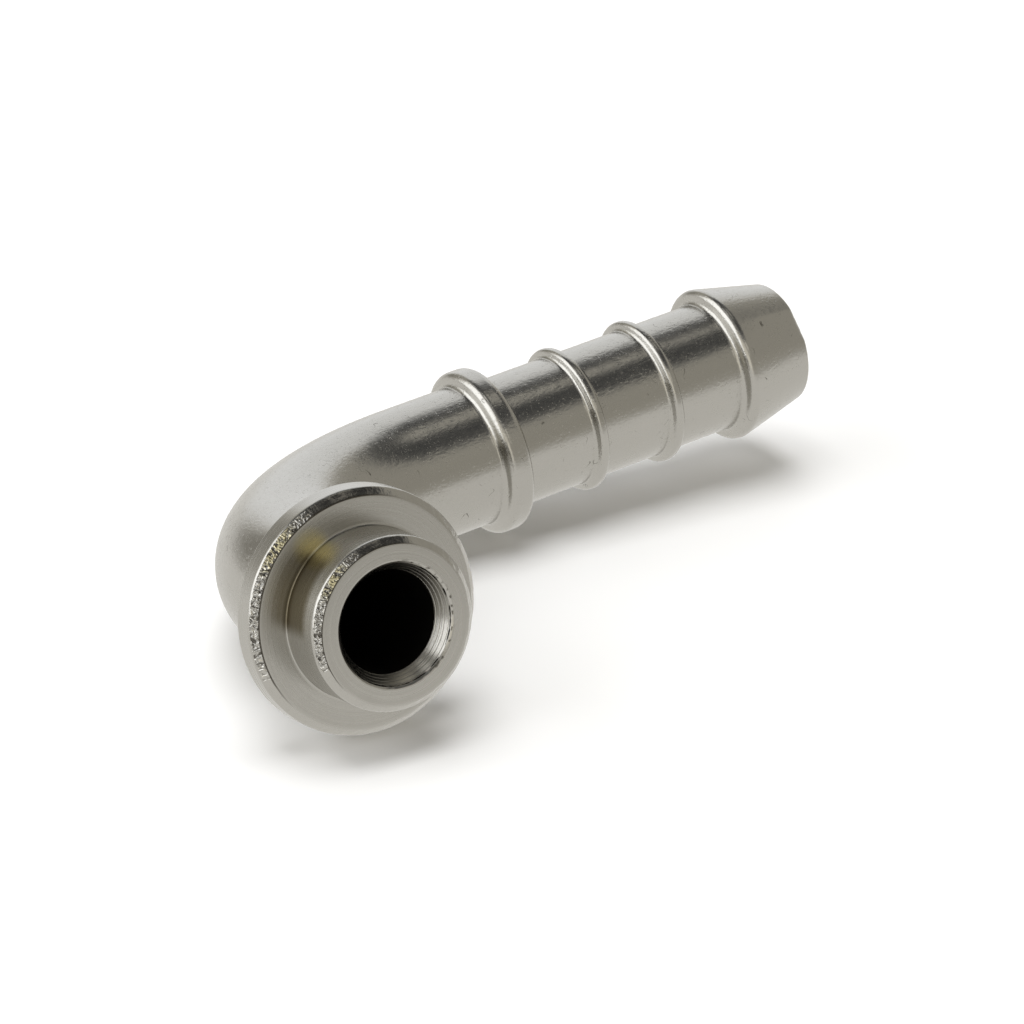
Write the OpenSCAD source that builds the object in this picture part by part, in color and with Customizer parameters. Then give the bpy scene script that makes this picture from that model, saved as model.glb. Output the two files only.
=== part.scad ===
// Ninety-degree hose fitting: a bent tube with a ribbed hose tail on one leg and a
// flanged spigot on the other, bored through. Sizes are in millimetres.
// The fitting lies at rest on the floor at z = 0: it touches with the back edge of the
// flange, the heel of the bend and the edge of the collar. The hose tail points along +x.

/* [Bend] */
// Outside diameter of the bent tube
tube_diameter = 11.4; // [10.8:0.1:12]
// Radius of the tube's centreline round the bend
bend_radius = 17.2; // [15:0.1:19]
// Diameter of the passage through the bend and the spigot leg
passage_diameter = 7.6; // [6:0.1:8.2]

/* [Hose tail] */
// Distance from the spigot axis to the tip of the hose tail
hose_leg_length = 52.95; // [52:0.05:58]
// Diameter of the barrel that the hose grips
barrel_diameter = 10.65; // [10:0.05:11]
// Diameter of the hole drilled from the tip up to the bend
hose_bore_diameter = 8.2; // [7.6:0.1:8.6]
// Soft corners where the ribs meet the barrel
rib_root_radius = 0.3; // [0.1:0.05:0.4]
// Outside diameter of the two ribs
rib_diameter = 12; // [11.8:0.1:12.8]
// Width of each rib across its flanks
rib_width = 0.85; // [0.8:0.05:1.8]
// Rounding of the rib's two crown edges
rib_edge_radius = 0.34; // [0.1:0.02:0.4]
// Distance from the spigot axis to the middle of the first rib
first_rib_position = 32.4; // [29:0.1:35]
// Distance from the spigot axis to the middle of the second rib
second_rib_position = 39.65; // [37.5:0.05:42]

/* [Barb] */
// Diameter over the crown of the barb
barb_diameter = 12.85; // [12:0.05:13.6]
// Distance from the spigot axis to the barb's square shoulder
barb_position = 46.4; // [44.5:0.05:48]
// Rounding of the barb's crown
barb_crown_radius = 0.55; // [0.2:0.05:0.6]
// Soft corner at the foot of the barb's shoulder
barb_root_radius = 0.4; // [0.1:0.05:0.45]
// Diameter of the barb's cone where it reaches the nose
nose_diameter = 10.15; // [9.6:0.05:10.8]
// Rounding of the nose edge
nose_edge_radius = 0.2; // [0.1:0.05:0.5]
// Depth of the small flat dented into the nose edge
nose_dent_depth = 0.18; // [0.05:0.01:0.3]
// Lean of the dent's face from the side of the nose towards the tip
nose_dent_lean = 40; // [30:1:60]
// Angle of the dent round the nose, from straight down
nose_dent_angle = 243; // [0:1:359]

/* [Collar] */
// Outside diameter of the collar that stops the hose
collar_diameter = 13.55; // [13:0.05:14.5]
// Width of the collar across its flanks
collar_width = 2.1; // [1.8:0.05:3.4]
// Distance from the spigot axis to the middle of the collar
collar_position = 24.25; // [22.5:0.05:26]
// Rounding of the collar's two crown edges
collar_edge_radius = 0.65; // [0.2:0.05:0.7]
// Soft corners where the collar meets the tube and the barrel
collar_root_radius = 0.4; // [0.1:0.05:0.45]

/* [Flange] */
// Diameter of the flange that the union nut pulls on
flange_diameter = 18.4; // [17.6:0.1:19.6]
// Thickness of the flange
flange_thickness = 3.7; // [3.2:0.1:5]
// Chamfer on the front edge of the flange
flange_chamfer = 0.55; // [0.2:0.05:0.8]
// Height of the cone on the back edge of the flange
flange_back_cone = 1.4; // [0.8:0.1:1.8]
// Soft corner where the tube meets the back of the flange
flange_root_radius = 0.4; // [0.1:0.05:0.5]

/* [Spigot] */
// Distance from the hose axis to the front of the spigot
spigot_leg_length = 29.75; // [29.2:0.05:36]
// Diameter of the spigot in front of the flange
spigot_diameter = 12.9; // [12.2:0.1:14]
// Length of the spigot in front of the flange
spigot_length = 4.55; // [3.5:0.05:7]
// Chamfer on the front edge of the spigot
spigot_chamfer = 0.5; // [0.2:0.05:0.7]
// Diameter of the mouth in the spigot's front face
mouth_diameter = 9.3; // [9:0.1:10.2]
// Edge break round the mouth
mouth_edge_break = 0.15; // [0.05:0.05:0.3]
// Whole angle of the cone inside the mouth
mouth_cone_angle = 60; // [45:1:90]

/* [Hidden] */
$fn = 96;

tube_radius = tube_diameter / 2;
passage_radius = passage_diameter / 2;
hose_bore_radius = hose_bore_diameter / 2;
barrel_radius = barrel_diameter / 2;
rib_radius = rib_diameter / 2;
barb_radius = barb_diameter / 2;
nose_radius = nose_diameter / 2;
collar_radius = collar_diameter / 2;
flange_radius = flange_diameter / 2;
spigot_radius = spigot_diameter / 2;
mouth_radius = mouth_diameter / 2;
cone_start_radius = mouth_radius - mouth_edge_break;
nose_edge_cutter = nose_radius / 2.5;
mouth_cone_depth = (cone_start_radius - passage_radius) / tan(mouth_cone_angle / 2);

// Root corners that stay clear of the rounded crowns above them
collar_foot_radius = min(collar_root_radius, collar_radius - collar_edge_radius - tube_radius - 0.02);
rib_foot_radius = min(rib_root_radius, rib_radius - rib_edge_radius - barrel_radius - 0.02);
barb_foot_radius = min(barb_root_radius, barb_radius - barb_crown_radius - barrel_radius - 0.02);

// Stations along the hose leg, from the spigot axis
collar_start = collar_position - collar_width / 2;
collar_end = collar_position + collar_width / 2;

// Stations along the spigot leg, from the hose axis
spigot_front = spigot_leg_length;
flange_front = spigot_front - spigot_length;
flange_position = flange_front - flange_thickness;

// Slope of the barb's cone, as a turn from the hose axis
barb_crown_centre = barb_position + barb_crown_radius;
cone_angle = atan((barb_radius - nose_radius) / (hose_leg_length - nose_edge_radius - barb_crown_centre));

// How the fitting rests. The floor is a plane with slope p along the hose leg and slope s
// along the spigot leg. It touches the back edge of the flange, the collar's rounded edge
// and the bend. Each reach is the height of the fitting's axes above that plane.
flange_edge_distance = flange_position + flange_back_cone;
collar_edge_distance = collar_start + collar_edge_radius;
function slant(p, s) = sqrt(1 + p * p + s * s);
function collar_reach(p, s) =
    (collar_radius - collar_edge_radius) * sqrt(1 + s * s) + collar_edge_radius * slant(p, s);
function heel_reach(p, s) =
    bend_radius * (sqrt(p * p + s * s) - p - s) + tube_radius * slant(p, s);
function flange_reach(p) = flange_radius * sqrt(1 + p * p);
function rest_slopes(steps, p, s) =
    steps == 0
        ? [p, s]
        : rest_slopes(
            steps - 1,
            (collar_reach(p, s) - heel_reach(p, s)) / collar_edge_distance,
            (flange_reach(p) - collar_reach(p, s) + p * collar_edge_distance) / flange_edge_distance
        );
slopes = rest_slopes(60, 0.1, 0.2);
spigot_tilt = atan(slopes[1]);
hose_tilt = atan(slopes[0] / sqrt(1 + slopes[1] * slopes[1]));
rest_height = heel_reach(slopes[0], slopes[1]) / slant(slopes[0], slopes[1]);

// The box round the resting fitting, to put its middle on the origin
tip_reach = (hose_leg_length - nose_edge_radius) * cos(hose_tilt)
    + (nose_radius - nose_edge_radius) * sin(hose_tilt) + nose_edge_radius;
rim_lean = sin(hose_tilt) * sin(spigot_tilt);
rim_reach = (flange_front - flange_chamfer) * rim_lean + flange_radius * sqrt(1 - rim_lean * rim_lean);
front_reach = spigot_front * cos(spigot_tilt) + (spigot_radius - spigot_chamfer) * sin(spigot_tilt);
middle_x = (tip_reach - rim_reach) / 2;
middle_y = (collar_radius - front_reach) / 2;

// Points on an arc, from one angle to another
function arc(x, y, r, from, to, steps) =
    [for (i = [0:steps]) [x + r * cos(from + (to - from) * i / steps), y + r * sin(from + (to - from) * i / steps)]];

// A soft inner corner that leaves a cylinder of radius r at height z and climbs a square flank
function root_up(z, r, corner) = arc(r + corner, z - corner, corner, 180, 90, 3);
// A soft inner corner that comes down a square flank and meets a cylinder of radius r
function root_down(z, r, corner) = arc(r + corner, z + corner, corner, 270, 180, 3);
// A rounded ring between two square flanks
function ring_crown(start, end, r, edge) = concat(
    arc(r - edge, start + edge, edge, 270, 360, 4),
    arc(r - edge, end - edge, edge, 0, 90, 4)
);

function rib_outline(position) = concat(
    root_up(position - rib_width / 2, barrel_radius, rib_foot_radius),
    ring_crown(position - rib_width / 2, position + rib_width / 2, rib_radius, rib_edge_radius),
    root_down(position + rib_width / 2, barrel_radius, rib_foot_radius)
);

// Straight hose leg: tube, collar, barrel, ribs and barb, hollow all through
module hose_leg() {
    rotate([0, 90, 0])
        rotate_extrude()
            polygon(concat(
                [[hose_bore_radius, bend_radius], [tube_radius, bend_radius]],
                root_up(collar_start, tube_radius, collar_foot_radius),
                ring_crown(collar_start, collar_end, collar_radius, collar_edge_radius),
                root_down(collar_end, barrel_radius, collar_root_radius),
                rib_outline(first_rib_position),
                rib_outline(second_rib_position),
                root_up(barb_position, barrel_radius, barb_foot_radius),
                arc(
                    barb_radius - barb_crown_radius, barb_crown_centre,
                    barb_crown_radius, 270, 360 + cone_angle, 6
                ),
                arc(
                    nose_radius - nose_edge_radius, hose_leg_length - nose_edge_radius,
                    nose_edge_radius, cone_angle, 90, 4
                ),
                [[hose_bore_radius, hose_leg_length]]
            ));
}

// The bend: a quarter of a hollow ring between the two legs
module bend() {
    translate([bend_radius, -bend_radius, 0])
        rotate([0, 0, 90])
            rotate_extrude(angle = 90)
                translate([bend_radius, 0])
                    difference() {
                        circle(r = tube_radius);
                        circle(r = passage_radius);
                    }
}

// Straight spigot leg: tube, flange and spigot, with the cone in its mouth
module spigot_leg() {
    rotate([90, 0, 0])
        rotate_extrude()
            polygon(concat(
                [[passage_radius, bend_radius], [tube_radius, bend_radius]],
                root_up(flange_position, tube_radius, flange_root_radius),
                [
                    [flange_radius - flange_back_cone, flange_position],
                    [flange_radius, flange_position + flange_back_cone],
                    [flange_radius, flange_front - flange_chamfer],
                    [flange_radius - flange_chamfer, flange_front],
                    [spigot_radius, flange_front],
                    [spigot_radius, spigot_front - spigot_chamfer],
                    [spigot_radius - spigot_chamfer, spigot_front],
                    [mouth_radius, spigot_front],
                    [cone_start_radius, spigot_front - mouth_edge_break],
                    [passage_radius, spigot_front - mouth_edge_break - mouth_cone_depth]
                ]
            ));
}

// Flat that a knock has left on the edge of the nose
module nose_dent() {
    translate([hose_leg_length - nose_edge_radius, 0, 0])
        rotate([nose_dent_angle, 0, 0])
            translate([0, 0, nose_edge_radius - nose_radius])
                rotate([0, -nose_dent_lean, 0])
                    translate([0, 0, nose_dent_depth - nose_edge_radius - nose_edge_cutter])
                        linear_extrude(nose_edge_cutter)
                            square([2, 3] * nose_edge_cutter, center = true);
}

module fitting() {
    color([0.66, 0.64, 0.59])
        translate([-middle_x, -middle_y, rest_height])
            rotate([-spigot_tilt, -hose_tilt, 0])
                difference() {
                    union() {
                        hose_leg();
                        bend();
                        spigot_leg();
                    }
                    nose_dent();
                }
}

fitting();
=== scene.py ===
"""Ninety-degree hose fitting: a plated brass tube with a ribbed hose tail on one leg and a
flanged spigot on the other. The fitting is one swept piece. Its outline runs along a path
with one bend, so a node tree makes it, and the finish follows the same straight outline."""
import math

import bpy
from mathutils import Matrix, Vector


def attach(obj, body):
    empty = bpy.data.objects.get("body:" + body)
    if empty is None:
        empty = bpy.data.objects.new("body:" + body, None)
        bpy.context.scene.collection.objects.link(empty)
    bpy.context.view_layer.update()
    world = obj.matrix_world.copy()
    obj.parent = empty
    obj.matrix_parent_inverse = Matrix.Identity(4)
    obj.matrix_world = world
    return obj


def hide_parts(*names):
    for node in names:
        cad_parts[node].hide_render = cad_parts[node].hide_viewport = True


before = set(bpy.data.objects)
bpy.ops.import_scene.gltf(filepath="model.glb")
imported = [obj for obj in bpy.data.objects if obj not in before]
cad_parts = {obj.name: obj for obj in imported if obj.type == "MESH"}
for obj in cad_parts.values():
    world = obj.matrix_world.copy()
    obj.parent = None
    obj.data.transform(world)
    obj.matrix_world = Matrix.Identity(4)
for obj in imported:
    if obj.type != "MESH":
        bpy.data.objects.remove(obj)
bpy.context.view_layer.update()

bl_info = {
    "name": "Hose fitting",
    "version": (1, 0, 0),
    "blender": (4, 5, 0),
    "location": "View3D > Sidebar > Fitting",
    "description": "Builds a plated ninety-degree hose fitting and its studio",
    "category": "Add Mesh",
}

MM = 0.001

# Radii of rounded edges, and the widest gap to the points that hold them, in millimetres
NOSE_EDGE = 0.2
COLLAR_EDGE = 0.65
RIB_EDGE = 0.34
BARB_EDGE = 0.55
ROOT = 0.4
RIB_ROOT = 0.3
SUPPORT_GAP = 0.12

# Where the nose was knocked flat: round the tail from below, and back from its side
DENT_AROUND = math.radians(243.0)
DENT_SLOPE = math.radians(40.0)

# Yellow patch at the foot of the spigot, in millimetres on the straight outline
PATCH_CENTRE = (6.2, 3.1, 3.6)

# Compass directions of the bright wall, the side light and the light panel
WALL = math.radians(62.0)
SIDE = math.radians(-155.0)
PANEL = math.radians(160.0)

# The camera of the photograph, in metres, with its focal length in pixels
PHOTO_PIXELS = 1024.0
FOCAL_PIXELS = 4000.0
SENSOR_MM = 36.0
CAMERA_PLACE = (-0.1478171, -0.23783818, 0.13929794)
CAMERA_RIGHT = (0.84998432, -0.52671679, -0.00980179)
CAMERA_DOWN = (-0.23300502, -0.35919235, -0.90370876)
CAMERA_AHEAD = (0.47247784, 0.77042214, -0.42803552)


# Node helpers

class Flow:
    """One output socket, with arithmetic that adds Math nodes."""

    def __init__(self, tree, socket):
        self.tree = tree
        self.socket = socket

    def math(self, operation, *others):
        node = self.tree.nodes.new("ShaderNodeMath")
        node.operation = operation
        for index, value in enumerate((self,) + others):
            if isinstance(value, Flow):
                self.tree.links.new(value.socket, node.inputs[index])
            else:
                node.inputs[index].default_value = value
        return Flow(self.tree, node.outputs[0])

    def __add__(self, other):
        return self.math("ADD", other)

    def __sub__(self, other):
        return self.math("SUBTRACT", other)

    def __mul__(self, other):
        return self.math("MULTIPLY", other)

    __radd__ = __add__
    __rmul__ = __mul__

    def __rsub__(self, other):
        return self.math("MULTIPLY_ADD", -1.0, other)

    def __truediv__(self, other):
        return self.math("DIVIDE", other)

    def __neg__(self):
        return self.math("MULTIPLY", -1.0)

    def __pow__(self, other):
        return self.math("POWER", other)

    def least(self, other):
        return self.math("MINIMUM", other)

    def most(self, other):
        return self.math("MAXIMUM", other)

    def clamp(self):
        return self.most(0.0).least(1.0)

    def ramp(self, low, high):
        """0 below low, 1 above high, with a soft step between them."""
        step = ((self - low) / (high - low)).clamp()
        return step * step * (3.0 - 2.0 * step)


class Tree:
    """A node tree with one call that adds any node. A value is given by its socket's name, with
    underscores for spaces, or as i0, i1 and so on for the first, second and later socket."""

    def __init__(self, tree):
        self.tree = tree

    def add(self, kind, settings=None, **values):
        node = self.tree.nodes.new(kind)
        for name, setting in (settings or {}).items():
            setattr(node, name, setting)
        for name, value in values.items():
            socket = self.find(node, name)
            if isinstance(value, Flow):
                self.tree.links.new(value.socket, socket)
            else:
                socket.default_value = value
        return node

    @staticmethod
    def find(node, name):
        if name.startswith("i") and name[1:].isdigit():
            return node.inputs[int(name[1:])]
        wanted = name.replace("_", " ")
        for socket in node.inputs:
            if socket.enabled and socket.name == wanted:
                return socket
        raise KeyError(f"{node.bl_idname} has no input {wanted}")

    def out(self, kind, settings=None, output=0, **values):
        node = self.add(kind, settings, **values)
        if isinstance(output, str):
            for socket in node.outputs:
                if socket.enabled and socket.name == output:
                    return Flow(self.tree, socket)
            raise KeyError(output)
        return Flow(self.tree, node.outputs[output])

    def vector(self, x, y, z):
        return self.out("ShaderNodeCombineXYZ", X=x, Y=y, Z=z)

    def split(self, vector):
        node = self.add("ShaderNodeSeparateXYZ", Vector=vector)
        return [Flow(self.tree, socket) for socket in node.outputs]

    def scale(self, vector, factors):
        return self.out("ShaderNodeVectorMath", {"operation": "MULTIPLY"}, i0=vector, i1=factors)

    def plus(self, vector, other):
        return self.out("ShaderNodeVectorMath", {"operation": "ADD"}, i0=vector, i1=other)

    def minus(self, vector, other):
        return self.out("ShaderNodeVectorMath", {"operation": "SUBTRACT"}, i0=vector, i1=other)

    def dot(self, vector, other):
        return self.out("ShaderNodeVectorMath", {"operation": "DOT_PRODUCT"}, "Value", i0=vector,
                        i1=other)

    def mix(self, factor, first, second):
        """Mixes two colours."""
        return self.out("ShaderNodeMix", {"data_type": "RGBA"}, 2, i0=factor, i6=first, i7=second)

    def noise(self, vector, scale, detail=2.0, roughness=0.5, distortion=0.0):
        return self.out("ShaderNodeTexNoise", None, 0, Vector=vector, Scale=scale, Detail=detail,
                        Roughness=roughness, Distortion=distortion)


# Sizes

def mm_size(name, default, description):
    """A length in millimetres for a property group."""
    return bpy.props.FloatProperty(name=name, default=default, min=0.01, description=description)


class FittingSizes(bpy.types.PropertyGroup):
    """Sizes of the fitting, in millimetres."""
    tube_radius: mm_size("Tube radius", 5.7, "Outside radius of the bent tube")
    bend_radius: mm_size("Bend radius", 17.2, "Radius of the centreline round the bend")
    passage_radius: mm_size("Passage radius", 3.8, "Radius of the passage in the bend and spigot leg")
    hose_bore_radius: mm_size("Hose bore radius", 4.1, "Radius of the hole drilled from the tip")
    hose_leg: mm_size("Hose leg", 52.95, "Spigot axis to the tip of the hose tail")
    barrel_radius: mm_size("Barrel radius", 5.325, "Radius that the hose grips")
    rib_radius: mm_size("Rib radius", 6.0, "Outside radius of the ribs")
    rib_width: mm_size("Rib width", 0.85, "Width of a rib across its flanks")
    first_rib: mm_size("First rib", 32.4, "Spigot axis to the middle of the first rib")
    second_rib: mm_size("Second rib", 39.65, "Spigot axis to the middle of the second rib")
    barb_radius: mm_size("Barb radius", 6.425, "Radius over the crown of the barb")
    barb_start: mm_size("Barb start", 46.4, "Spigot axis to the barb's square shoulder")
    flank_slant: mm_size("Flank slant", 0.13, "How far the near flanks of collar, ribs and barb lean")
    nose_radius: mm_size("Nose radius", 5.075, "Radius where the cone reaches the nose")
    dent_depth: mm_size("Dent depth", 0.18, "Depth of the flat knocked into the nose edge")
    collar_radius: mm_size("Collar radius", 6.775, "Outside radius of the collar")
    collar_width: mm_size("Collar width", 2.1, "Width of the collar across its flanks")
    collar_place: mm_size("Collar place", 24.25, "Spigot axis to the middle of the collar")
    flange_radius: mm_size("Flange radius", 9.2, "Outside radius of the flange")
    flange_thickness: mm_size("Flange thickness", 3.7, "Thickness of the flange")
    flange_chamfer: mm_size("Flange chamfer", 0.55, "Chamfer on the flange's front edge")
    flange_cone: mm_size("Flange cone", 1.4, "Height of the cone behind the flange")
    spigot_leg: mm_size("Spigot leg", 29.75, "Hose axis to the front of the spigot")
    spigot_radius: mm_size("Spigot radius", 6.45, "Radius of the spigot")
    spigot_length: mm_size("Spigot length", 4.55, "Length of the spigot in front of the flange")
    spigot_chamfer: mm_size("Spigot chamfer", 0.5, "Chamfer on the spigot's front edge")
    mouth_radius: mm_size("Mouth radius", 4.65, "Radius of the mouth in the spigot's face")
    mouth_break: mm_size("Mouth edge break", 0.15, "Edge break round the mouth")
    mouth_angle: bpy.props.FloatProperty(
        name="Mouth cone", default=math.radians(60), subtype="ANGLE",
        description="Whole angle of the cone inside the mouth")
    rounds: bpy.props.IntProperty(
        name="Facets round", default=320, min=48, max=400, description="Facets round the tube")
    wear: mm_size("Edge wear", 0.05, "How far knocks move the turned edges")


class FinishColours(bpy.types.PropertyGroup):
    """Colours of the plated finish and the studio."""
    plate: bpy.props.FloatVectorProperty(
        name="Plate", subtype="COLOR", size=3, default=(0.465, 0.454, 0.422),
        description="Nickel plate on the smooth surfaces")
    tarnish: bpy.props.FloatVectorProperty(
        name="Tarnish", subtype="COLOR", size=3, default=(0.6, 0.54, 0.32),
        description="Warm cast where the plate is thin")
    # Painted shade: near black for the inside of the passage and hose bore
    passage: bpy.props.FloatVectorProperty(
        name="Passage", subtype="COLOR", size=3, default=(0.03, 0.028, 0.025),
        description="Dark inside of the passage")
    # Dirt in the scratches, with painted shade in chamfer corners, knock crevices and mouth nicks, and a
    # painted dark reflection on the chamfer tops
    scratch_dirt_and_painted_shade: bpy.props.FloatVectorProperty(
        name="Soot", subtype="COLOR", size=3, default=(0.07, 0.062, 0.05),
        description="Dirt in scratches, creases and deep knocks")
    # Painted brown shade on the left of the spigot, towards the flange
    cast: bpy.props.FloatVectorProperty(
        name="Cast", subtype="COLOR", size=3, default=(0.15, 0.127, 0.08),
        description="Brown cast on the left of the spigot")
    floor: bpy.props.FloatVectorProperty(
        name="Floor", subtype="COLOR", size=3, default=(0.93, 0.93, 0.93),
        description="Pale floor")


# The outline

FORGED, TURNED, DARK, CONE = 0.0, 1.0, 2.0, 3.0


def rounded(corners):
    """Rounds the corners of a closed outline. A corner is (along, reach, radius, steps, finish,
    wear); its finish and wear hold from it to the next corner."""
    count = len(corners)
    spots = [Vector(corner[:2]) for corner in corners]

    def turn(index):
        back = spots[index - 1] - spots[index]
        return math.pi - back.angle(spots[(index + 1) % count] - spots[index])

    reaches = [corner[2] * math.tan(turn(index) / 2.0) for index, corner in enumerate(corners)]
    points = []
    for index, (s, r, radius, steps, finish, wear) in enumerate(corners):
        before, after = corners[index - 1], (index + 1) % count
        if radius <= 0.0:
            points.append((s, r, finish, wear))
            continue
        here, reach = spots[index], reaches[index]
        back, ahead = spots[index - 1] - here, spots[after] - here
        spare = [min(SUPPORT_GAP, 0.3 * (edge.length - reach - reaches[other]))
                 for edge, other in ((back, index - 1), (ahead, after))]
        back, ahead = back.normalized(), ahead.normalized()
        start, end = here + back * reach, here + ahead * reach
        centre = here + (back + ahead).normalized() * (radius / math.cos(turn(index) / 2.0))
        first, last = start - centre, end - centre
        if spare[0] > 0.02:
            points.append((*(start + back * spare[0]), before[4], before[5]))
        for step in range(steps + 1):
            share = step / steps
            spoke = first.slerp(last, share, first).normalized() * radius
            points.append((*(centre + spoke), before[4] if share < 0.5 else finish,
                           before[5] + (wear - before[5]) * share))
        if spare[1] > 0.02:
            points.append((*(end + ahead * spare[1]), finish, wear))
    return points


def fitting_outline(sizes):
    """Points of the closed outline: place along the path, reach from the path, finish, wear."""
    straight = sizes.spigot_leg - sizes.bend_radius
    quarter = sizes.bend_radius * math.pi / 2.0
    tail = straight + quarter - sizes.bend_radius

    def leg(distance):
        return tail + distance

    cone_start = sizes.mouth_radius - sizes.mouth_break
    cone_end = sizes.mouth_break + (cone_start - sizes.passage_radius) / math.tan(sizes.mouth_angle / 2.0)
    flange_back = sizes.spigot_length + sizes.flange_thickness
    run = sizes.hose_leg - NOSE_EDGE - sizes.barb_start - BARB_EDGE
    lean = math.atan((sizes.barb_radius - sizes.nose_radius) / run)
    cone_foot = (sizes.barb_start + BARB_EDGE + BARB_EDGE * math.sin(lean),
                 sizes.barb_radius - BARB_EDGE + BARB_EDGE * math.cos(lean))
    cone_tip = (sizes.hose_leg - NOSE_EDGE + NOSE_EDGE * math.sin(lean),
                sizes.nose_radius - NOSE_EDGE + NOSE_EDGE * math.cos(lean))
    slope = (cone_tip[1] - cone_foot[1]) / (cone_tip[0] - cone_foot[0])

    def on_cone(x):
        return cone_foot[1] + slope * (x - cone_foot[0])

    collar = (sizes.collar_place - sizes.collar_width / 2.0, sizes.collar_place + sizes.collar_width / 2.0)
    slant = sizes.flank_slant
    corners = [
        (cone_end, sizes.passage_radius, 0.05, 2, CONE, 0.0),
        (sizes.mouth_break, cone_start, 0.05, 2, TURNED, 0.5),
        (0.0, sizes.mouth_radius, 0.05, 2, TURNED, 0.0),
        (0.0, sizes.spigot_radius - sizes.spigot_chamfer, 0.15, 3, TURNED, 1.0),
        (sizes.spigot_chamfer, sizes.spigot_radius, 0.4, 4, TURNED, 0.0),
        (sizes.spigot_length, sizes.spigot_radius, 0.1, 3, TURNED, 0.0),
        (sizes.spigot_length, sizes.flange_radius - sizes.flange_chamfer, 0.2, 3, TURNED, 1.0),
        (sizes.spigot_length + sizes.flange_chamfer, sizes.flange_radius, 0.4, 4, TURNED, 0.0),
        (flange_back - sizes.flange_cone, sizes.flange_radius, 0.15, 3, TURNED, 0.0),
        (flange_back, sizes.flange_radius - sizes.flange_cone, 0.12, 3, TURNED, 0.0),
        (flange_back, sizes.tube_radius, ROOT, 4, FORGED, 0.0),
    ]
    corners += [(straight + quarter * step / 48.0, sizes.tube_radius, 0.0, 0, FORGED, 0.0)
                for step in range(49)]
    corners += [
        (leg(collar[0] - slant), sizes.tube_radius, ROOT, 5, FORGED, 0.0),
        (leg(collar[0] + slant), sizes.collar_radius, COLLAR_EDGE, 7, FORGED, 0.0),
        (leg(collar[1]), sizes.collar_radius, COLLAR_EDGE, 7, FORGED, 0.0),
        (leg(collar[1]), sizes.barrel_radius, ROOT, 5, FORGED, 0.0),
    ]
    for place in (sizes.first_rib, sizes.second_rib):
        low, high = place - sizes.rib_width / 2.0, place + sizes.rib_width / 2.0
        corners += [
            (leg(low - slant), sizes.barrel_radius, RIB_ROOT, 5, FORGED, 0.0),
            (leg(low + slant), sizes.rib_radius, RIB_EDGE, 5, FORGED, 0.0),
            (leg(high), sizes.rib_radius, RIB_EDGE, 5, FORGED, 0.0),
            (leg(high), sizes.barrel_radius, RIB_ROOT, 5, FORGED, 0.0),
        ]
    corners += [
        (leg(sizes.barb_start - slant), sizes.barrel_radius, ROOT, 5, FORGED, 0.0),
        (leg(sizes.barb_start + slant), on_cone(sizes.barb_start + slant), BARB_EDGE, 7, FORGED, 0.0),
        (leg(sizes.hose_leg), on_cone(sizes.hose_leg), NOSE_EDGE, 5, TURNED, 0.0),
        (leg(sizes.hose_leg), sizes.hose_bore_radius, 0.06, 2, DARK, 0.0),
        (leg(sizes.bend_radius), sizes.hose_bore_radius, 0.04, 2, DARK, 0.0),
        (leg(sizes.bend_radius), sizes.passage_radius, 0.04, 2, DARK, 0.0),
    ]
    corners += [(straight + quarter * step / 32.0, sizes.passage_radius, 0.0, 0, DARK, 0.0)
                for step in range(31, -1, -1)]
    return rounded(corners)


def rest_placing(sizes):
    """Turns and shift that lay the straight-built fitting on the floor, as in the frame."""
    collar_edge = sizes.collar_place - sizes.collar_width / 2.0 + COLLAR_EDGE
    flange_edge = sizes.spigot_leg - sizes.spigot_length - sizes.flange_thickness + sizes.flange_cone
    p, s = 0.1, 0.2
    for _ in range(60):
        slant = math.sqrt(1 + p * p + s * s)
        collar = (sizes.collar_radius - COLLAR_EDGE) * math.sqrt(1 + s * s) + COLLAR_EDGE * slant
        heel = sizes.bend_radius * (math.hypot(p, s) - p - s) + sizes.tube_radius * slant
        p, s = ((collar - heel) / collar_edge,
                (sizes.flange_radius * math.sqrt(1 + p * p) - collar + p * collar_edge) / flange_edge)
    slant = math.sqrt(1 + p * p + s * s)
    heel = sizes.bend_radius * (math.hypot(p, s) - p - s) + sizes.tube_radius * slant
    turn_x, turn_y = -math.atan(s), -math.atan(p / math.sqrt(1 + s * s))
    tip = ((sizes.hose_leg - NOSE_EDGE) * math.cos(turn_y)
           - (sizes.nose_radius - NOSE_EDGE) * math.sin(turn_y) + NOSE_EDGE)
    lean = math.sin(turn_x) * math.sin(turn_y)
    rim_place = sizes.spigot_leg - sizes.spigot_length - sizes.flange_chamfer
    rim = rim_place * lean + sizes.flange_radius * math.sqrt(1 - lean * lean)
    front = (sizes.spigot_leg * math.cos(turn_x)
             - (sizes.spigot_radius - sizes.spigot_chamfer) * math.sin(turn_x))
    shift = Vector((-(tip - rim) / 2.0, -(sizes.collar_radius - front) / 2.0, heel / slant))
    return (turn_x, turn_y, 0.0), shift


def outline_object(points):
    """A mesh of loose outline points that the sweep reads, in metres."""
    mesh = bpy.data.meshes.new("outline")
    mesh.from_pydata([(r * MM, 0.0, s * MM) for s, r, _, _ in points], [], [])
    for name, column in (("finish", 2), ("wear", 3)):
        layer = mesh.attributes.new(name, "FLOAT", "POINT")
        layer.data.foreach_set("value", [point[column] for point in points])
    body = bpy.data.objects.new("fitting_body", mesh)
    bpy.context.scene.collection.objects.link(body)
    return body


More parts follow.
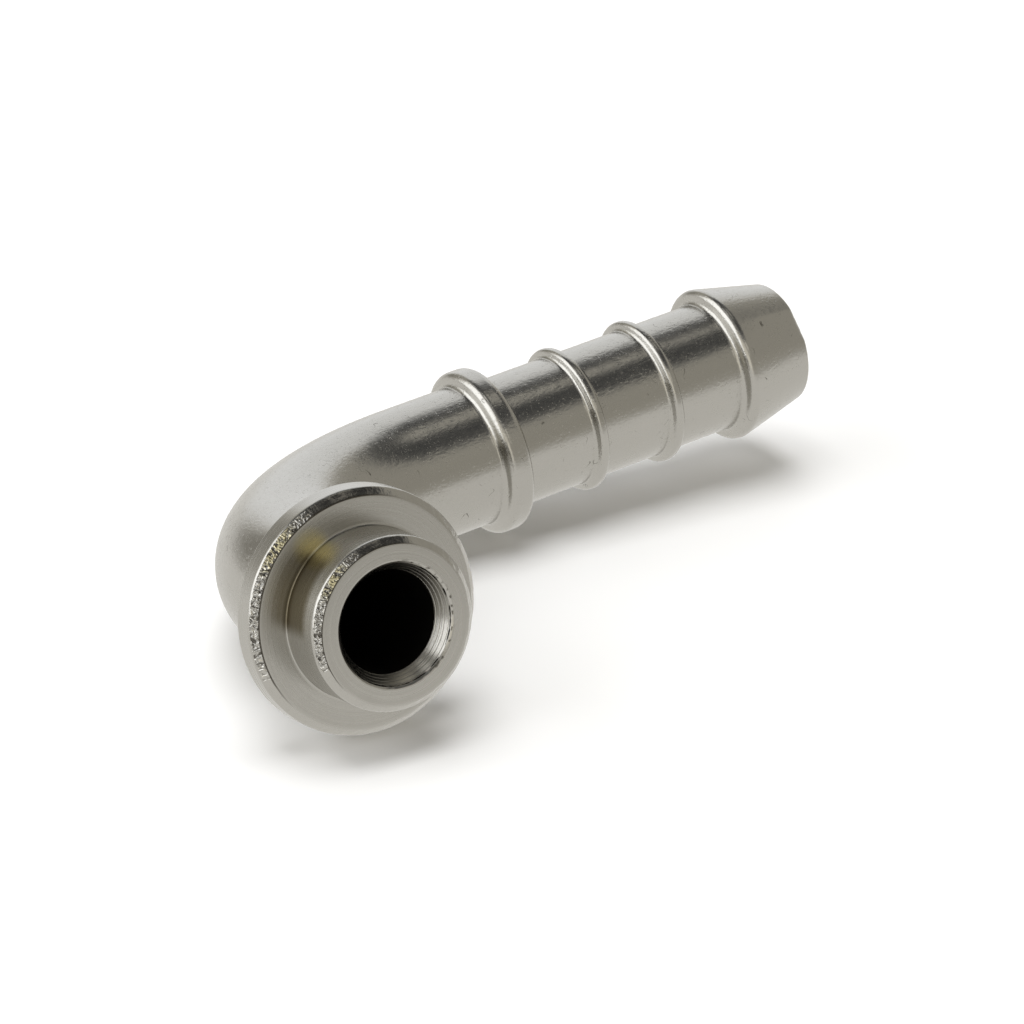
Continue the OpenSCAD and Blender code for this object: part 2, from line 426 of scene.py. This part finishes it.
def sweep_tree():
    """Node tree that sweeps an outline round and along a path with one bend."""
    group = bpy.data.node_groups.new("Bent sweep", "GeometryNodeTree")
    face = group.interface
    face.new_socket("Geometry", in_out="INPUT", socket_type="NodeSocketGeometry")
    for name, kind in (("Outline points", "NodeSocketInt"), ("Facets round", "NodeSocketInt"),
                       ("Straight length", "NodeSocketFloat"), ("Bend radius", "NodeSocketFloat"),
                       ("Leg length", "NodeSocketFloat"), ("Wear depth", "NodeSocketFloat"),
                       ("Dent centre", "NodeSocketVector"), ("Dent direction", "NodeSocketVector"),
                       ("Dent level", "NodeSocketFloat"), ("Rest turn", "NodeSocketVector"),
                       ("Rest shift", "NodeSocketVector"), ("Material", "NodeSocketMaterial")):
        face.new_socket(name, in_out="INPUT", socket_type=kind)
    face.new_socket("Geometry", in_out="OUTPUT", socket_type="NodeSocketGeometry")
    tree = Tree(group)
    source = group.nodes.new("NodeGroupInput")
    given = {socket.name: Flow(group, socket) for socket in source.outputs if socket.name}

    rows = given["Outline points"] + 1.0
    columns = given["Facets round"] + 1.0
    grid = tree.add("GeometryNodeMeshGrid", None, Size_X=1.0, Size_Y=1.0, Vertices_X=rows, Vertices_Y=columns)
    index = tree.out("GeometryNodeInputIndex")
    row = (index / columns + 0.0001).math("FLOOR")
    column = index - row * columns
    point = row.math("MODULO", given["Outline points"])
    turn = column.math("MODULO", given["Facets round"]) / given["Facets round"] * (2.0 * math.pi)

    def sampled(kind, value):
        return tree.out("GeometryNodeSampleIndex", {"data_type": kind, "domain": "POINT"}, 0,
                        Geometry=given["Geometry"], Value=value, Index=point)

    place = tree.split(sampled("FLOAT_VECTOR", tree.out("GeometryNodeInputPosition")))
    finish = sampled("FLOAT", tree.out("GeometryNodeInputNamedAttribute", {"data_type": "FLOAT"},
                                       "Attribute", Name="finish"))
    wear = sampled("FLOAT", tree.out("GeometryNodeInputNamedAttribute", {"data_type": "FLOAT"},
                                     "Attribute", Name="wear"))
    reach, along = place[0], place[2]
    up, side = turn.math("COSINE"), turn.math("SINE")
    straight = tree.vector(reach * up, reach * side, along)

    # Knocks on the turned edges
    knock = tree.noise(tree.scale(straight, (1000.0, 1000.0, 1000.0)), 1.1, 2.0, 0.6)
    reach = reach - (knock - 0.45).most(0.0) * wear * given["Wear depth"] * 4.0

    bend = given["Bend radius"]
    arc = bend * (math.pi / 2.0)
    angle = ((along - given["Straight length"]) / bend).most(0.0).least(math.pi / 2.0)
    before = along.least(given["Straight length"])
    after = (along - given["Straight length"] - arc).most(0.0)
    cosine, sine = angle.math("COSINE"), angle.math("SINE")
    x = bend - bend * cosine + after - reach * side * cosine
    y = before + bend * sine - given["Leg length"] + reach * side * sine
    z = reach * up
    position = tree.vector(x, y, z)

    # The flat on the nose edge: points past its plane are pressed back on to it
    from_centre = tree.minus(position, given["Dent centre"])
    over = (tree.dot(from_centre, given["Dent direction"]) - given["Dent level"]).most(0.0)
    pressed = tree.out("ShaderNodeVectorMath", {"operation": "SCALE"}, i0=given["Dent direction"],
                       Scale=over)
    position = tree.minus(position, pressed)

    mesh = Flow(group, grid.outputs["Mesh"])
    sheet = tree.out("GeometryNodeStoreNamedAttribute", {"data_type": "FLOAT2", "domain": "CORNER"},
                     Geometry=mesh, Name="UVMap", Value=Flow(group, grid.outputs["UV Map"]))
    for name, kind, value in (("straight", "FLOAT_VECTOR", straight), ("finish", "FLOAT", finish),
                              ("wear", "FLOAT", wear)):
        sheet = tree.out("GeometryNodeStoreNamedAttribute", {"data_type": kind, "domain": "POINT"},
                         Geometry=sheet, Name=name, Value=value)
    sheet = tree.out("GeometryNodeSetPosition", Geometry=sheet, Position=position)
    sheet = tree.out("GeometryNodeMergeByDistance", Geometry=sheet, Distance=3e-7)
    sheet = tree.out("GeometryNodeTransform", Geometry=sheet, Translation=given["Rest shift"],
                     Rotation=given["Rest turn"])
    sheet = tree.out("GeometryNodeSetShadeSmooth", Geometry=sheet, Shade_Smooth=True)
    sheet = tree.out("GeometryNodeRealizeInstances", Geometry=sheet)
    sheet = tree.out("GeometryNodeSetMaterial", Geometry=sheet, Material=given["Material"])
    sink = group.nodes.new("NodeGroupOutput")
    group.links.new(sheet.socket, sink.inputs[0])
    return group


def run_tree(piece, group, values):
    """Runs a node tree on a piece with these inputs, keeps the mesh and drops the modifier."""
    modifier = piece.modifiers.new("Sweep", "NODES")
    modifier.node_group = group
    for item in group.interface.items_tree:
        if item.in_out == "INPUT" and item.name in values:
            modifier[item.identifier] = values[item.name]
    evaluated = piece.evaluated_get(bpy.context.evaluated_depsgraph_get())
    mesh = bpy.data.meshes.new_from_object(evaluated)
    piece.modifiers.remove(modifier)
    piece.data = mesh
    return mesh


def nose_dent(sizes):
    """Centre and direction of the flat knocked into the nose edge, before the fitting is laid."""
    outward = Vector((0.0, math.sin(DENT_AROUND), -math.cos(DENT_AROUND)))
    forward = Vector((1.0, 0.0, 0.0))
    direction = outward * math.cos(DENT_SLOPE) + forward * math.sin(DENT_SLOPE)
    centre = outward * (sizes.nose_radius - NOSE_EDGE) + forward * (sizes.hose_leg - NOSE_EDGE)
    return centre, direction


def volume(mesh):
    """Signed volume of a closed mesh."""
    total = 0.0
    for face in mesh.polygons:
        first = mesh.vertices[face.vertices[0]].co
        for one, two in zip(face.vertices[1:-1], face.vertices[2:]):
            total += first.dot(mesh.vertices[one].co.cross(mesh.vertices[two].co))
    return total / 6.0


# The finish

def surface_material(name):
    """A fresh material and its tree."""
    material = bpy.data.materials.new(name)
    material.use_nodes = True
    material.node_tree.nodes.clear()
    return material, Tree(material.node_tree)


def plated_brass(colours, sizes):
    """Satin nickel plate: drawn and tumbled on the tube, turned on the flange and spigot,
    knocked on the chamfers, and with painted shade down the passage. Sizes in it are
    millimetres on the straight outline, with x up and y to the left as the spigot is looked at."""
    material, tree = surface_material("plated_brass")
    straight = tree.out("ShaderNodeAttribute", {"attribute_name": "straight"}, "Vector")
    finish = tree.out("ShaderNodeAttribute", {"attribute_name": "finish"}, "Fac")
    wear = tree.out("ShaderNodeAttribute", {"attribute_name": "wear"}, "Fac")
    mm = tree.scale(straight, (1000.0, 1000.0, 1000.0))
    x, y, along = tree.split(mm)
    reach = (x * x + y * y).math("SQRT")

    def zone(number):
        """1 where the finish has this number."""
        return (1.0 - (finish - number).math("ABSOLUTE")).clamp()

    forged, turned, dark, cone = zone(FORGED), zone(TURNED), zone(DARK), zone(CONE)
    knocked = wear.ramp(0.55, 0.95)

    # Relief in millimetres. Noises are centred, so that no finish stands proud of the next.
    peel = tree.noise(tree.vector(x, y, along * 0.7), 0.8, 1.0, 0.5) - 0.5
    grain = tree.noise(tree.vector(x, y, along * 0.5), 4.5, 1.0, 0.5) - 0.5
    pits = tree.noise(tree.vector(x * 0.8, y * 0.8, along * 1.2), 5.0, 1.0, 0.5).ramp(0.64, 0.76)
    fine_rings = tree.noise(tree.vector(reach * 12.0, 3.7, along * 12.0), 1.0, 2.0, 0.6) - 0.5
    broad_rings = tree.noise(tree.vector(reach * 2.6, 9.1, along * 2.6), 1.0, 1.0, 0.5) - 0.5
    knocks = tree.noise(tree.vector(x, y, along * 0.4), 2.7, 1.0, 0.5, 1.2) - 0.5
    patch = tree.noise(mm, 0.5, 2.0, 0.5)
    scratch_path = tree.noise(tree.plus(mm, (7.3, 2.1, 4.4)), 0.75, 1.0, 0.4) - 0.5
    scratch = 1.0 - scratch_path.math("ABSOLUTE").ramp(0.0, 0.008)
    scratch = scratch * tree.noise(mm, 0.9, 1.0).ramp(0.6, 0.68)

    # Each pass of the tool leaves a slope with a thin step at its end.
    pass_place = (along * 3.3).math("FRACT")
    feed = (pass_place * 0.0185 + pass_place.least(0.12) * 0.07).least((1.0 - pass_place) * 0.6)

    # The chamfers are knocked most on their upper left side.
    battered = 0.04 + 0.96 * ((x * 0.7 + y * 1.22) / reach).ramp(0.92, 1.2)
    grain_depth = 0.006 + 0.01 * patch.ramp(0.42, 0.62)
    height = (forged * (peel * 0.014 + grain * grain_depth - pits * 0.009 - scratch * 0.004)
              + turned * (fine_rings * 0.004 + broad_rings * 0.002 + grain * 0.002)
              + cone * (feed + fine_rings * 0.005)
              + knocked * battered * knocks * 0.6)

    # Brass shows where the plate is worn through or thin on the knocked chamfers; a yellow patch sits at the
    # foot of the spigot.
    worn_through = ((x * 0.77 + y * 0.64) / reach).ramp(0.965, 0.998)
    brass = (knocked * worn_through * knocks.ramp(-0.12, 0.04) * 0.8 + foot_patch(x, y, along)).clamp()
    colour = tree.mix(brass, (*colours.plate, 1.0), (*colours.tarnish, 1.0))
    # Painted brown shade on the left of the spigot, darker towards the flange
    shade = foot_shade(x, y, along, reach, sizes.spigot_radius) * turned
    colour = tree.mix(shade, colour, (*colours.cast, 1.0))

    # Painted shade of small nicks round the right of the mouth
    mouth = sizes.mouth_radius
    nick_shade = turned * (1.0 - along.ramp(1.0, 2.0)) * tree.noise(mm, 2.6, 1.0).ramp(0.52, 0.62)
    nick_shade = nick_shade * reach.ramp(mouth - 0.15, mouth - 0.05) * (1.0 - reach.ramp(mouth - 0.01, mouth + 0.21))
    nick_shade = nick_shade * (-y / reach).ramp(0.1, 0.5)

    # Painted shade along the inner corners of both chamfers. Reach plus place tells the edges apart.
    edge_sum = reach + along
    spigot_edge = sizes.spigot_radius - sizes.spigot_chamfer
    flange_edge = sizes.spigot_length + sizes.flange_radius - sizes.flange_chamfer
    on_spigot = 1.0 - edge_sum.ramp(spigot_edge + 0.25, spigot_edge + 0.55)
    on_flange = edge_sum.ramp(flange_edge - 0.3, flange_edge - 0.2)
    on_flange = on_flange * (1.0 - edge_sum.ramp(flange_edge + 0.2, flange_edge + 0.5))
    chamfer_corner_shade = wear.ramp(0.02, 0.12) * (1.0 - wear.ramp(0.75, 0.98)) * (on_spigot + on_flange)
    chamfer_corner_shade = chamfer_corner_shade * ((x + y) / reach).ramp(0.2, 0.8)

    # Painted shade in the crevices of deep knocks
    knock_crevice_shade = knocked * battered * (-knocks).ramp(0.06, 0.13)
    # Painted dark reflection along the top of the knocked chamfers
    chamfer_top_dark_reflection = knocked * (x / reach).ramp(0.88, 0.98)
    # Dirt in the forged tube's scratches, mixed with the painted shade and painted dark reflection above
    scratch_dirt_and_painted_shade = (nick_shade * 0.8 + chamfer_corner_shade * 0.9 + scratch * forged * 0.7 + knock_crevice_shade * 0.85
            + chamfer_top_dark_reflection * 0.55).clamp()
    colour = tree.mix(scratch_dirt_and_painted_shade, colour, (*colours.scratch_dirt_and_painted_shade, 1.0))
    # Painted shade: the passage and hose bore are coloured near black
    colour = tree.mix(dark, colour, (*colours.passage, 1.0))
    roughness = (0.15 + forged * (0.055 + grain * 0.12) + turned * (0.08 + broad_rings * 0.2) + cone * 0.06
                 + dark * 0.35 + scratch_dirt_and_painted_shade * 0.15 + patch * 0.08 - knocked * 0.11).clamp()

    bump = tree.out("ShaderNodeBump", None, "Normal", Strength=1.0, Distance=MM, Height=height)
    shader = tree.out("ShaderNodeBsdfPrincipled", None, 0, Base_Color=colour, Metallic=1.0,
                      Roughness=roughness, Normal=bump)
    tree.add("ShaderNodeOutputMaterial", None, Surface=shader)
    return material


def foot_patch(x, y, along):
    """Yellow patch at the foot of the spigot, above its left side."""
    over, aside, back = PATCH_CENTRE
    away = ((x - over) ** 2.0 + (y - aside) ** 2.0) * 0.3 + (along - back) ** 2.0 * 0.15
    return (1.0 - away.ramp(0.1, 1.0)) * 0.75


def foot_shade(x, y, along, reach, spigot_radius):
    """Painted brown shade on the left of the spigot, towards the flange."""
    sector = ((x * 0.57 + y * 0.82) / reach).ramp(0.86, 0.94)
    on_spigot = 1.0 - reach.ramp(spigot_radius + 0.05, spigot_radius + 0.45)
    return sector * along.ramp(1.4, 2.4) * on_spigot * 0.9


def along_compass(x, y, turn):
    """How far a place lies in a compass direction."""
    return x * math.cos(turn) + y * math.sin(turn)


def floor_paper(colours):
    """Plain pale paper. Metal sees it lit evenly up to its edge, and a grey room past it."""
    material, tree = surface_material("floor_paper")
    diffuse = tree.out("ShaderNodeBsdfDiffuse", None, 0, Color=(*colours.floor, 1.0))
    x, y, _ = tree.split(tree.out("ShaderNodeTexCoord", None, "Object"))
    away = (x * x + y * y).math("SQRT").most(0.0001)
    towards_wall = (along_compass(x, y, WALL) / away).ramp(0.72, 0.9)
    towards_side = (along_compass(x, y, SIDE) / away).ramp(0.6, 0.8)
    paper = 1.0 - away.ramp(0.11, 0.2) * (1.0 - towards_wall.most(towards_side))
    colour = tree.mix(paper, (0.46, 0.445, 0.41, 1.0), (0.90, 0.885, 0.85, 1.0))
    seen = tree.out("ShaderNodeEmission", None, 0, Color=colour, Strength=1.0)
    glossy = tree.out("ShaderNodeLightPath", None, "Is Glossy Ray")
    shader = tree.out("ShaderNodeMixShader", None, 0, i0=glossy, i1=diffuse, i2=seen)
    tree.add("ShaderNodeOutputMaterial", None, Surface=shader)
    return material


# The studio

def studio_world():
    """Soft studio: a bright wall behind, a grey room in front, a light panel on the left and a
    dark gap under the ceiling."""
    world = bpy.data.worlds.new("studio")
    world.use_nodes = True
    world.node_tree.nodes.clear()
    tree = Tree(world.node_tree)
    x, y, z = tree.split(tree.out("ShaderNodeTexCoord", None, "Generated"))
    flat = (x * x + y * y).math("SQRT").most(0.0001)

    def facing(turn):
        """Cosine of the angle to a compass direction."""
        return along_compass(x, y, turn) / flat

    def lobe(azimuth, elevation, inner, outer):
        """1 within an angle of a direction, falling to 0."""
        flat_part = math.cos(math.radians(elevation))
        toward = (x * (flat_part * math.cos(math.radians(azimuth)))
                  + y * (flat_part * math.sin(math.radians(azimuth)))
                  + z * math.sin(math.radians(elevation)))
        return toward.ramp(math.cos(math.radians(outer)), math.cos(math.radians(inner)))

    wall = facing(WALL).ramp(0.86, 0.97) * (1.0 - z.ramp(0.7, 0.81))
    panel = facing(PANEL).ramp(0.76, 0.88) * (1.0 - z.ramp(0.72, 0.84))
    side = facing(SIDE).ramp(0.6, 0.8) * (1.0 - z.ramp(0.2, 0.9))
    gap = z.ramp(0.66, 0.78) * (1.0 - lobe(12.0, 74.0, 4.0, 12.0))
    gap = gap * (1.0 - facing(math.radians(-165.0)).ramp(0.3, 0.8) * 0.5)

    # Light levels, from the grey room up, with small bright and dark things in it
    level = 0.46 + 0.04 * (1.0 - z.ramp(0.0, 0.25))
    level = level * (1.0 - gap) + gap * 0.075
    level = level + 0.25 * lobe(12.0, 74.0, 3.0, 11.0) - 0.17 * lobe(98.0, 6.0, 4.0, 20.0)
    level = level + (1.1 - level) * side
    level = level + (1.0 - level) * lobe(-86.0, 40.0, 5.0, 12.0)
    level = level + (1.3 - level) * lobe(162.0, 73.0, 3.0, 8.0)
    level = level + (1.12 - level) * wall
    level = level + (2.2 - level) * panel
    tint = tree.mix(wall.most(panel).most(gap), (1.0, 0.955, 0.85, 1.0), (0.99, 1.0, 1.015, 1.0))
    lit = tree.out("ShaderNodeVectorMath", {"operation": "SCALE"}, i0=tint, Scale=level)
    colour = tree.mix(z.ramp(-0.02, 0.02), (0.93, 0.93, 0.93, 1.0), lit)
    sky = tree.out("ShaderNodeBackground", None, 0, Color=colour, Strength=1.0)
    tree.add("ShaderNodeOutputWorld", None, Surface=sky)
    bpy.context.scene.world = world


def soft_lamp(name, place, target, size, watts):
    """A square lamp that looks at a point. Metal doesn't show it."""
    lamp = bpy.data.lights.new(name, "AREA")
    lamp.shape = "SQUARE"
    lamp.size = size
    lamp.energy = watts
    holder = bpy.data.objects.new(name, lamp)
    holder.location = place
    holder.rotation_euler = (Vector(target) - Vector(place)).to_track_quat("-Z", "Y").to_euler()
    holder.visible_glossy = False
    bpy.context.scene.collection.objects.link(holder)


def photo_camera():
    """The camera where the photograph was taken."""
    camera = bpy.data.cameras.new("camera")
    camera.sensor_width = SENSOR_MM
    camera.lens = FOCAL_PIXELS / PHOTO_PIXELS * SENSOR_MM
    camera.clip_start = 0.01
    camera.clip_end = 20.0
    holder = bpy.data.objects.new("camera", camera)
    turn = Matrix((Vector(CAMERA_RIGHT), -Vector(CAMERA_DOWN), -Vector(CAMERA_AHEAD))).transposed()
    holder.matrix_world = Matrix.Translation(CAMERA_PLACE) @ turn.to_4x4()
    bpy.context.scene.collection.objects.link(holder)
    return holder


# Operators

class FITTING_OT_stage(bpy.types.Operator):
    """Make the floor, the studio light and the camera"""
    bl_idname = "fitting.stage"
    bl_label = "Make stage"

    def execute(self, context):
        scene = context.scene
        scene.view_settings.view_transform = "Standard"
        paper = floor_paper(scene.fitting_colours)
        mesh = bpy.data.meshes.new("floor")
        half = 1.5
        mesh.from_pydata([(-half, -half, 0.0), (half, -half, 0.0), (half, half, 0.0),
                          (-half, half, 0.0)], [], [(0, 1, 2, 3)])
        mesh.materials.append(paper)
        floor = bpy.data.objects.new("floor", mesh)
        scene.collection.objects.link(floor)
        studio_world()
        soft_lamp("ceiling_lamp", (0.0, 0.1, 1.2), (0.0, 0.0, 0.0), 0.9, 10.5)
        scene.camera = photo_camera()
        return {"FINISHED"}


class FITTING_OT_body(bpy.types.Operator):
    """Make the plated fitting: tube, collar, ribs, barb, flange and spigot in one sweep"""
    bl_idname = "fitting.body"
    bl_label = "Make fitting"

    def execute(self, context):
        sizes = context.scene.fitting_sizes
        material = plated_brass(context.scene.fitting_colours, sizes)
        points = fitting_outline(sizes)
        fitting = outline_object(points)
        turns, shift = rest_placing(sizes)
        centre, direction = nose_dent(sizes)
        mesh = run_tree(fitting, sweep_tree(), {
            "Outline points": len(points),
            "Facets round": sizes.rounds,
            "Straight length": (sizes.spigot_leg - sizes.bend_radius) * MM,
            "Bend radius": sizes.bend_radius * MM,
            "Leg length": sizes.spigot_leg * MM,
            "Wear depth": sizes.wear * MM,
            "Dent centre": centre * MM,
            "Dent direction": direction,
            "Dent level": (NOSE_EDGE - sizes.dent_depth) * MM,
            "Rest turn": turns,
            "Rest shift": shift * MM,
            "Material": material,
        })
        if len(mesh.polygons) < 1000:
            raise RuntimeError("the sweep made no fitting")
        if volume(mesh) < 0.0:
            mesh.flip_normals()
        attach(fitting, "root")
        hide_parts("fitting")
        return {"FINISHED"}


class FITTING_PT_panel(bpy.types.Panel):
    """Buttons that build the fitting and its studio"""
    bl_idname = "FITTING_PT_panel"
    bl_label = "Hose fitting"
    bl_space_type = "VIEW_3D"
    bl_region_type = "UI"
    bl_category = "Fitting"

    def draw(self, context):
        layout = self.layout
        layout.operator("fitting.body")
        layout.operator("fitting.stage")
        for name in FittingSizes.__annotations__:
            layout.prop(context.scene.fitting_sizes, name)
        for name in FinishColours.__annotations__:
            layout.prop(context.scene.fitting_colours, name)


CLASSES = (FittingSizes, FinishColours, FITTING_OT_stage, FITTING_OT_body, FITTING_PT_panel)


def register():
    for item in CLASSES:
        bpy.utils.register_class(item)
    bpy.types.Scene.fitting_sizes = bpy.props.PointerProperty(type=FittingSizes)
    bpy.types.Scene.fitting_colours = bpy.props.PointerProperty(type=FinishColours)


def unregister():
    del bpy.types.Scene.fitting_colours
    del bpy.types.Scene.fitting_sizes
    for item in reversed(CLASSES):
        bpy.utils.unregister_class(item)


def main():
    register()
    bpy.ops.fitting.body()
    bpy.ops.fitting.stage()


if __name__ == "__main__":
    main()
